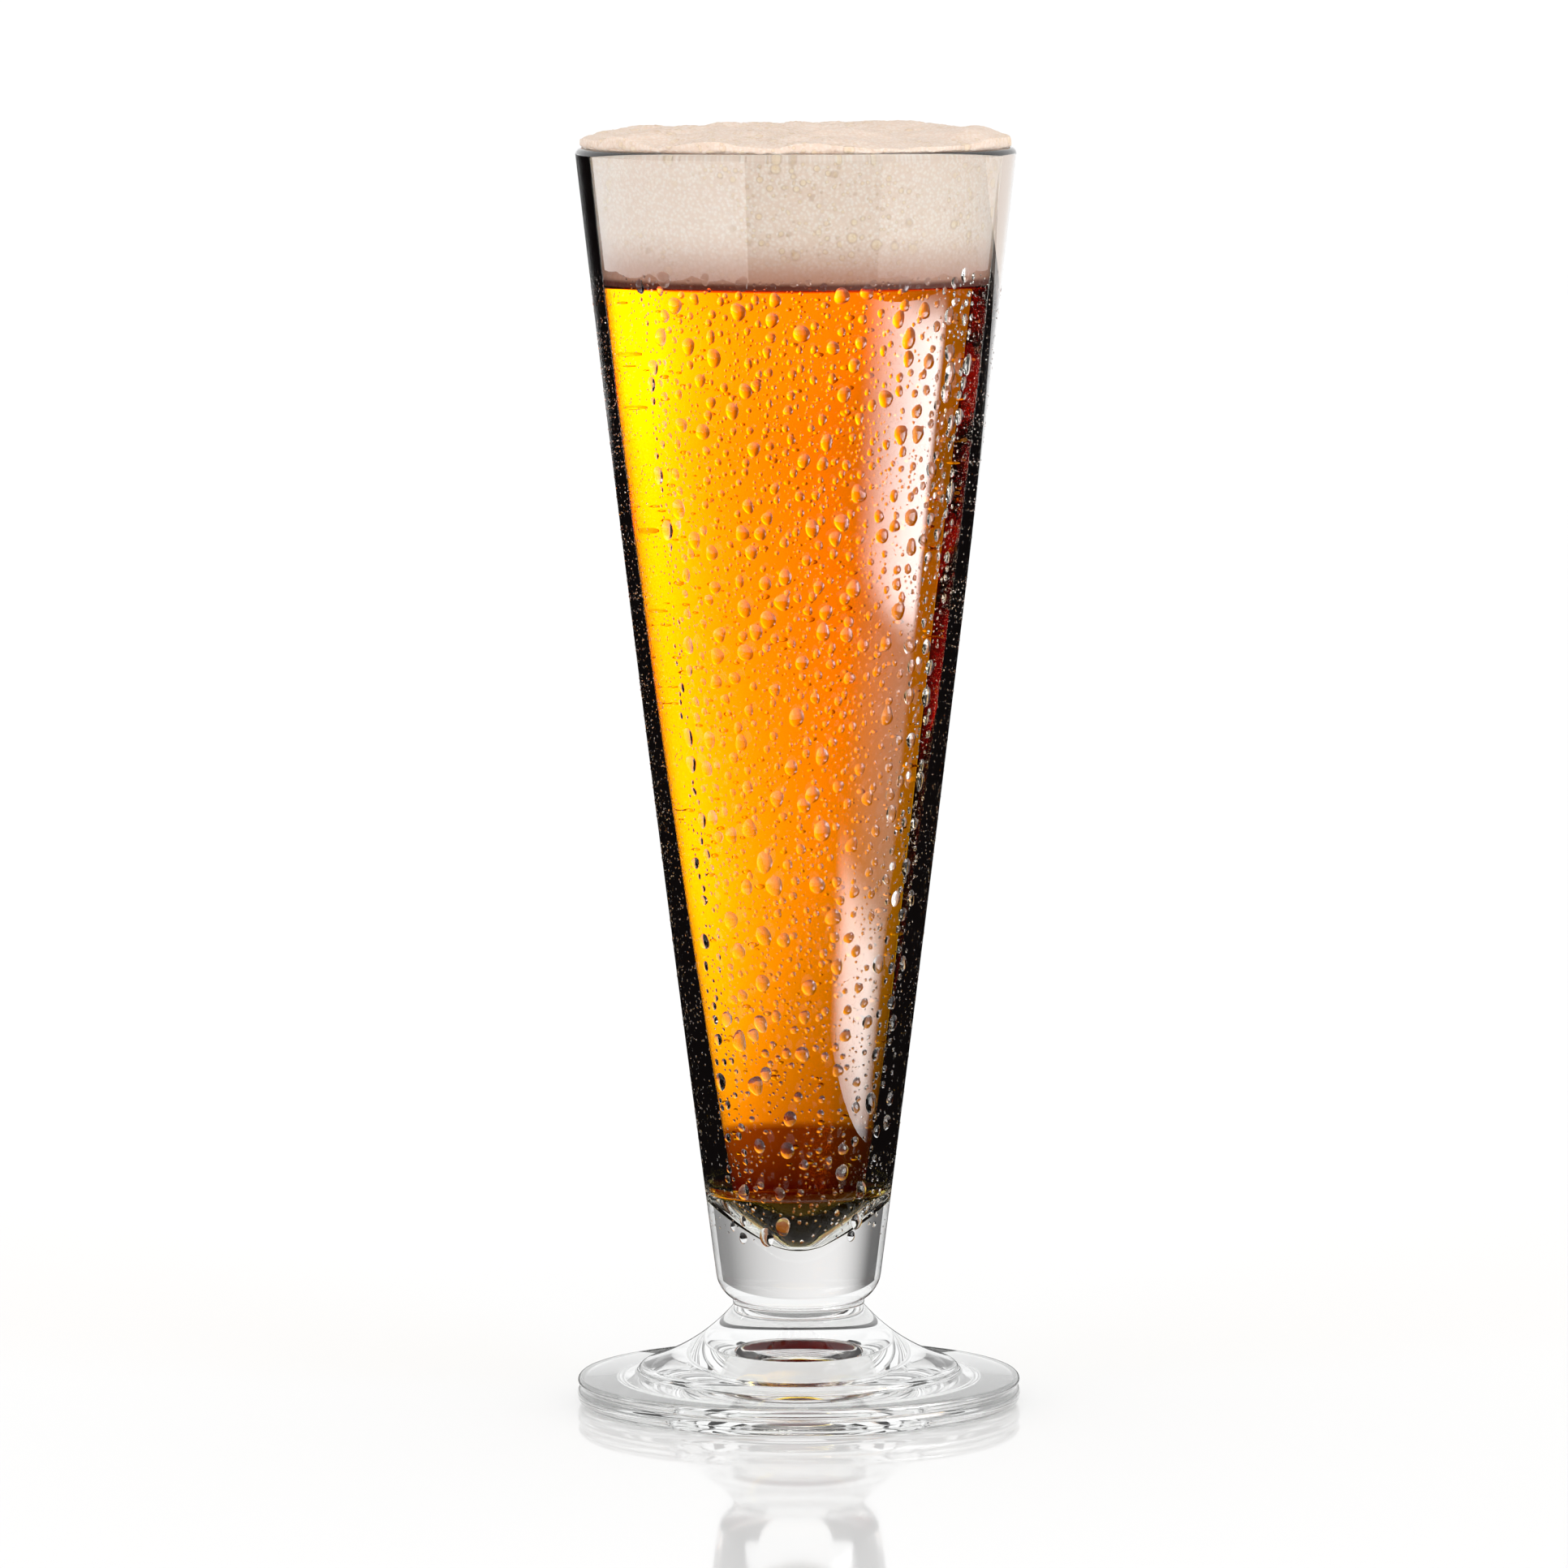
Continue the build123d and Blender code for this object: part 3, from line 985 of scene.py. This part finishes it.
class PILSNER_OT_stage(bpy.types.Operator):
    """Sets the floor, studio cards, lamps and camera"""

    bl_idname = "pilsner.stage"
    bl_label = "Stage"

    def sheet(self, name, corners, faces, material):
        """A sheet of the stage."""
        mesh = bpy.data.meshes.new(name)
        mesh.from_pydata(corners, [], faces)
        mesh.materials.append(material)
        sheet = bpy.data.objects.new(name, mesh)
        bpy.context.scene.collection.objects.link(sheet)
        return sheet

    def flat(self, name, material, left, right, front, back, height):
        """A four-cornered sheet that lies level."""
        corners = [(left, front, height), (right, front, height), (right, back, height), (left, back, height)]
        return self.sheet(name, corners, [(0, 1, 2, 3)], material)

    def upright(self, name, material, left, right, back, bottom, top, lean=0.0):
        """A card that stands behind the glass, whose left edge may lean in, and that only the glass shows."""
        corners = [(left, back, bottom), (right, back, bottom), (right, back, top), (left + lean, back, top)]
        card = self.sheet(name, corners, [(0, 1, 2, 3)], material)
        self.unseen(card, glossy=False, transmission=True)

    def ring(self, name, material, inner, outer, height):
        """A ring of cloth round the foot."""
        steps = 48
        corners = []
        for step in range(steps):
            turn = 2 * math.pi * step / steps
            corners += [(reach * math.cos(turn), reach * math.sin(turn), height) for reach in (inner, outer)]
        quads = []
        for step in range(steps):
            after = (step + 1) % steps
            quads.append((2 * step, 2 * step + 1, 2 * after + 1, 2 * after))
        return self.sheet(name, corners, quads, material)

    def tent(self, material, reach, bottom, top):
        """Cloth round the front, a half circle that far out."""
        steps = 24
        turns = [math.pi + math.pi * step / steps for step in range(steps + 1)]
        edge = [(reach * math.cos(turn), reach * math.sin(turn) - 0.02) for turn in turns]
        corners = [(x, y, z) for x, y in edge for z in (bottom, top)]
        quads = [(2 * step, 2 * step + 1, 2 * step + 3, 2 * step + 2) for step in range(steps)]
        return self.sheet("tent", corners, quads, material)

    def unseen(self, sheet, glossy, transmission):
        """Keeps a card out of the picture: only the glass shows it."""
        sheet.visible_camera = sheet.visible_diffuse = False
        sheet.visible_shadow = sheet.visible_volume_scatter = False
        sheet.visible_glossy, sheet.visible_transmission = glossy, transmission

    def shown(self, finish, limits):
        """1 to the light paths inside these limits that haven't met a matt surface, and 0 to the rest."""
        path = finish.node("ShaderNodeLightPath")
        share = 1 - path["Diffuse Depth"].above(0.5)
        for output, (least, most) in limits.items():
            share = share * path[output].above(least) * (1 - path[output].above(most))
        return share

    def front(self, finish):
        """1 on a sheet's front side and 0 on its back."""
        return 1 - finish.node("ShaderNodeNewGeometry")["Backfacing"]

    def glowing(self, finish, light, strength, share):
        """Ends a card's tree: it glows to the light paths that it is shown to, and is clear to the rest."""
        glow = finish.node("ShaderNodeEmission", None, {"Color": light, "Strength": strength})[0]
        clear = finish.node("ShaderNodeBsdfTransparent")[0]
        return finish.surface(finish.node("ShaderNodeMixShader", None, {0: share, 1: clear, 2: glow})[0])

    def cloth(self, name, shade, limits):
        """A plain cloth that glows in one shade, painted light rather than lit by a lamp, and is seen on its
        front side by the light paths inside these limits.
        """
        finish = Finish(bpy.data.materials.new(name))
        return self.glowing(finish, shade, 1.0, self.shown(finish, limits) * self.front(finish))

    def golden(self, stage):
        """The golden card's light: brighter to the right and upwards, and shown only through the drink."""
        finish = Finish(bpy.data.materials.new("golden_card"))
        place = finish.node("ShaderNodeSeparateXYZ", None, {0: finish.place()})
        soft = 0.09 + place["X"].step(-0.02, 0.04) * 0.66
        crisp = 0.05 + place["X"].step(-0.012, 0.03) * 0.78
        across = soft + place["Z"].step(0.115, 0.185) * (crisp - soft)
        rise = 1 + place["Z"].step(0.165, 0.192) * (GOLDEN_TOP - 1)
        stops = [(height / GOLDEN_SPAN, shade) for height, shade in GOLDEN_COLOURS]
        shade = finish.node("ShaderNodeValToRGB", {"stops": stops}, {0: place["Z"] * (1 / GOLDEN_SPAN)})[0]
        light = finish.blend(across * rise * (1 / GOLDEN_TOP), BLACK, shade)
        return self.glowing(finish, light, stage.back_card * GOLDEN_TOP, self.shown(finish, THROUGH_DRINK))

    def grey(self):
        """The grey card's light: white in the middle and darker to both sides, for the bowl's solid base."""
        finish = Finish(bpy.data.materials.new("grey_card"))
        place = finish.node("ShaderNodeSeparateXYZ", None, {0: finish.place()})
        share = 0.94 - place["X"].step(-0.015, 0.085) * 0.6 - (0 - place["X"]).step(0.02, 0.09) * 0.75
        light = finish.blend(share, BLACK, PEARL)
        return self.glowing(finish, light, 1.0, self.shown(finish, THROUGH_BASE))

    def softbox(self, stage):
        """The strip light's glow: soft at its front edge, with a dim stretch between two bright ones."""
        finish = Finish(bpy.data.materials.new("strip_light"))
        place = finish.node("ShaderNodeSeparateXYZ", None, {0: finish.place()})
        high = (0.1 + place["Z"].step(0.112, 0.123) * 0.88) * (1 - place["Z"].step(0.168, 0.179))
        high = high * place["Y"].step(-0.112, -0.03) * (1 - place["Y"].step(-0.024, -0.014))
        low = (1 - place["Z"].step(0.05, 0.068)) * (0.22 + place["Z"].step(0.015, 0.035) * 0.5)
        low = low * place["Y"].step(-0.125, -0.075) * (1 - place["Y"].step(-0.045, -0.015))
        share = (high + low) * self.front(finish) * self.shown(finish, BESIDE_STRIP)
        return self.glowing(finish, WHITE, stage.strip, share)

    def seen(self, finish):
        """A Light Path node, and 1 to the paths that show a thing: straight, mirrored or through glass."""
        path = finish.node("ShaderNodeLightPath")
        return path, path["Is Camera Ray"] | path["Is Glossy Ray"] | path["Is Transmission Ray"]

    def floor(self, stage):
        """Pale glossy floor with a faint glow, stronger through glass."""
        finish = Finish(bpy.data.materials.new("studio_floor"))
        path, seen = self.seen(finish)
        inputs = {"Base Color": stage.floor, "Roughness": 0.05, "IOR": 1.4}
        shader = finish.node("ShaderNodeBsdfPrincipled", None, inputs)["BSDF"]
        light = finish.blend(seen * 0.03 + path["Is Transmission Ray"] * 0.1, BLACK, WHITE)
        glow = finish.node("ShaderNodeEmission", None, {"Color": light, "Strength": 1.0})[0]
        material = finish.surface(finish.node("ShaderNodeAddShader", None, {0: shader, 1: glow})[0])
        self.flat("studio_floor", material, left=-30.0, right=30.0, front=-30.0, back=30.0, height=0.0)

    def behind(self, stage):
        """What the glass shows behind it: a golden card and a dark fin, and cards for its base and walls."""
        gold, grey = self.golden(stage), self.grey()
        dark = self.cloth("dark_card", SOOT, INSIDE_WALLS)
        cream = self.cloth("cream_card", CREAM, INSIDE_WALLS)
        self.upright("golden_card", gold, -0.034, 0.16, back=0.09, bottom=0.001, top=0.3, lean=0.007)
        self.upright("grey_card", grey, -0.15, 0.15, back=0.1, bottom=0.002, top=0.05)
        self.upright("dark_card_left", dark, -0.4, -0.036, back=0.13, bottom=0.078, top=0.24)
        self.upright("dark_card_right", dark, 0.046, 0.4, back=0.13, bottom=0.078, top=0.185)
        self.upright("cream_card", cream, 0.046, 0.4, back=0.13, bottom=0.185, top=0.24)
        fin = self.cloth("dark_fin", SOOT, THROUGH_DRINK)
        self.unseen(self.sheet("dark_fin", DARK_FIN, [(0, 1, 2, 3)], fin), glossy=False, transmission=True)

    def on_floor(self):
        """Cloth on the floor: dark for the glass to mirror and to show, and a painted amber glow under the
        drink.
        """
        mirrored = self.cloth("dark_ground", SOOT, MIRRORED)
        cloth = self.ring("ground_cloth", mirrored, inner=0.046, outer=1.75, height=0.002)
        self.unseen(cloth, glossy=True, transmission=False)
        cloth = self.flat("ground_cloth_left", mirrored, -4.0, -0.036, front=1.2, back=9.0, height=0.0025)
        self.unseen(cloth, glossy=True, transmission=False)
        under = self.cloth("dark_ground_under", SOOT, UNDER_FOOT)
        cloth = self.ring("ground_cloth_under", under, inner=0.04, outer=0.085, height=0.001)
        self.unseen(cloth, glossy=False, transmission=True)
        far = self.cloth("dark_ground_far", SOOT, INSIDE_WALLS)
        cloth = self.ring("ground_cloth_far", far, inner=0.046, outer=3.0, height=0.003)
        self.unseen(cloth, glossy=True, transmission=True)
        amber = self.cloth("amber_card", AMBER, THROUGH_DRINK)
        cloth = self.flat("amber_card", amber, -0.12, 0.16, front=0.03, back=0.089, height=0.0012)
        self.unseen(cloth, glossy=False, transmission=True)

    def in_front(self, stage):
        """What the glass mirrors: a dark tent, a strip light at the right and a window at each side."""
        dark = self.cloth("dark_tent", SOOT, MIRRORED_INSIDE)
        self.unseen(self.tent(dark, reach=0.45, bottom=0.003, top=0.42), glossy=True, transmission=True)
        strip = self.sheet("strip_light", STRIP_LIGHT, [(0, 1, 2, 3)], self.softbox(stage))
        self.unseen(strip, glossy=True, transmission=False)
        for name, side, share, front in WINDOWS:
            finish = Finish(bpy.data.materials.new(name))
            inputs = {"Color": WHITE, "Strength": stage.window * share}
            glass = finish.surface(finish.node("ShaderNodeEmission", None, inputs)[0])
            corners = [(side, y, z) for y, z in (*front, *WINDOW_SILL)]
            window = self.sheet(name, corners, [tuple(range(len(corners)))], glass)
            self.unseen(window, glossy=True, transmission=False)

    def lamp(self, name, place, power, tint):
        """A wide soft light on the glass from the way of a place."""
        light = bpy.data.lights.new(name, "SUN")
        light.angle, light.energy, light.color = math.radians(45), power, tint
        lamp = bpy.data.objects.new(name, light)
        lamp.location = place
        aim = Vector((0, 0, 0.12)) - Vector(place)
        lamp.rotation_euler = aim.to_track_quat("-Z", "Y").to_euler()
        lamp.visible_glossy = lamp.visible_transmission = lamp.visible_camera = False
        bpy.context.scene.collection.objects.link(lamp)

    def world(self, stage):
        """White surroundings, dimmer as a light than as a background."""
        world = bpy.data.worlds.new("studio")
        bpy.context.scene.world = world
        finish = Finish(world)
        seen = self.seen(finish)[1]
        shade = finish.blend(seen, (0.8, 0.8, 0.8, 1.0), (stage.glow, stage.glow, stage.glow, 1.0))
        background = finish.node("ShaderNodeBackground", None, {"Color": shade, "Strength": 1.0})[0]
        finish.node("ShaderNodeOutputWorld", None, {"Surface": background})

    def viewer(self, scene, stage):
        """The camera, where the photograph was taken from."""
        camera = bpy.data.cameras.new("camera")
        camera.lens, camera.sensor_width = stage.lens, 36.0
        camera.clip_start, camera.clip_end = 0.05, 100.0
        viewer = bpy.data.objects.new("camera", camera)
        viewer.location = (-stage.sideways, -stage.distance, stage.height)
        viewer.rotation_euler = (math.radians(90 - stage.pitch), math.radians(stage.roll), 0)
        scene.collection.objects.link(viewer)
        scene.camera = viewer

    def execute(self, context):
        scene = context.scene
        stage = scene.pilsner_stage
        self.floor(stage)
        self.behind(stage)
        self.on_floor()
        self.in_front(stage)
        self.world(stage)
        self.lamp("key_lamp", place=(1.4, -1.1, 0.5), power=2.0, tint=(1.0, 0.99, 0.97))
        self.lamp("fill_lamp", place=(-1.3, -1.2, 0.5), power=1.6, tint=(1.0, 0.98, 0.97))
        self.viewer(scene, stage)
        scene.view_settings.view_transform = "Standard"
        scene.cycles.max_bounces = 32
        scene.cycles.transmission_bounces = 32
        scene.cycles.glossy_bounces = 16
        scene.cycles.transparent_max_bounces = 48
        scene.cycles.caustics_reflective = False
        scene.cycles.caustics_refractive = True
        scene.cycles.use_denoising = True
        return {"FINISHED"}


OPERATORS = (
    PILSNER_OT_foot,
    PILSNER_OT_merese,
    PILSNER_OT_bowl,
    PILSNER_OT_beer,
    PILSNER_OT_foam,
    PILSNER_OT_dew,
    PILSNER_OT_stage,
)


class PILSNER_PT_build(bpy.types.Panel):
    """Lists the pieces of the pilsner glass"""

    bl_idname = "PILSNER_PT_build"
    bl_label = "Pilsner Glass"
    bl_space_type = "VIEW_3D"
    bl_region_type = "UI"
    bl_category = "Pilsner"

    def draw(self, context):
        for operator in OPERATORS:
            self.layout.operator(operator.bl_idname)
        for name, group in SETTINGS.items():
            box = self.layout.box()
            for key in group.__annotations__:
                box.prop(getattr(context.scene, name), key)


def register():
    for cls in (*SETTINGS.values(), *OPERATORS, PILSNER_PT_build):
        bpy.utils.register_class(cls)
    for name, group in SETTINGS.items():
        setattr(bpy.types.Scene, name, PointerProperty(type=group))


def unregister():
    for name in SETTINGS:
        delattr(bpy.types.Scene, name)
    for cls in reversed((*SETTINGS.values(), *OPERATORS, PILSNER_PT_build)):
        bpy.utils.unregister_class(cls)


def main():
    register()
    bpy.ops.pilsner.foot()
    bpy.ops.pilsner.merese()
    bpy.ops.pilsner.bowl()
    bpy.ops.pilsner.beer()
    bpy.ops.pilsner.foam()
    bpy.ops.pilsner.dew()
    bpy.ops.pilsner.stage()
    bpy.context.view_layer.update()


if __name__ == "__main__":
    main()
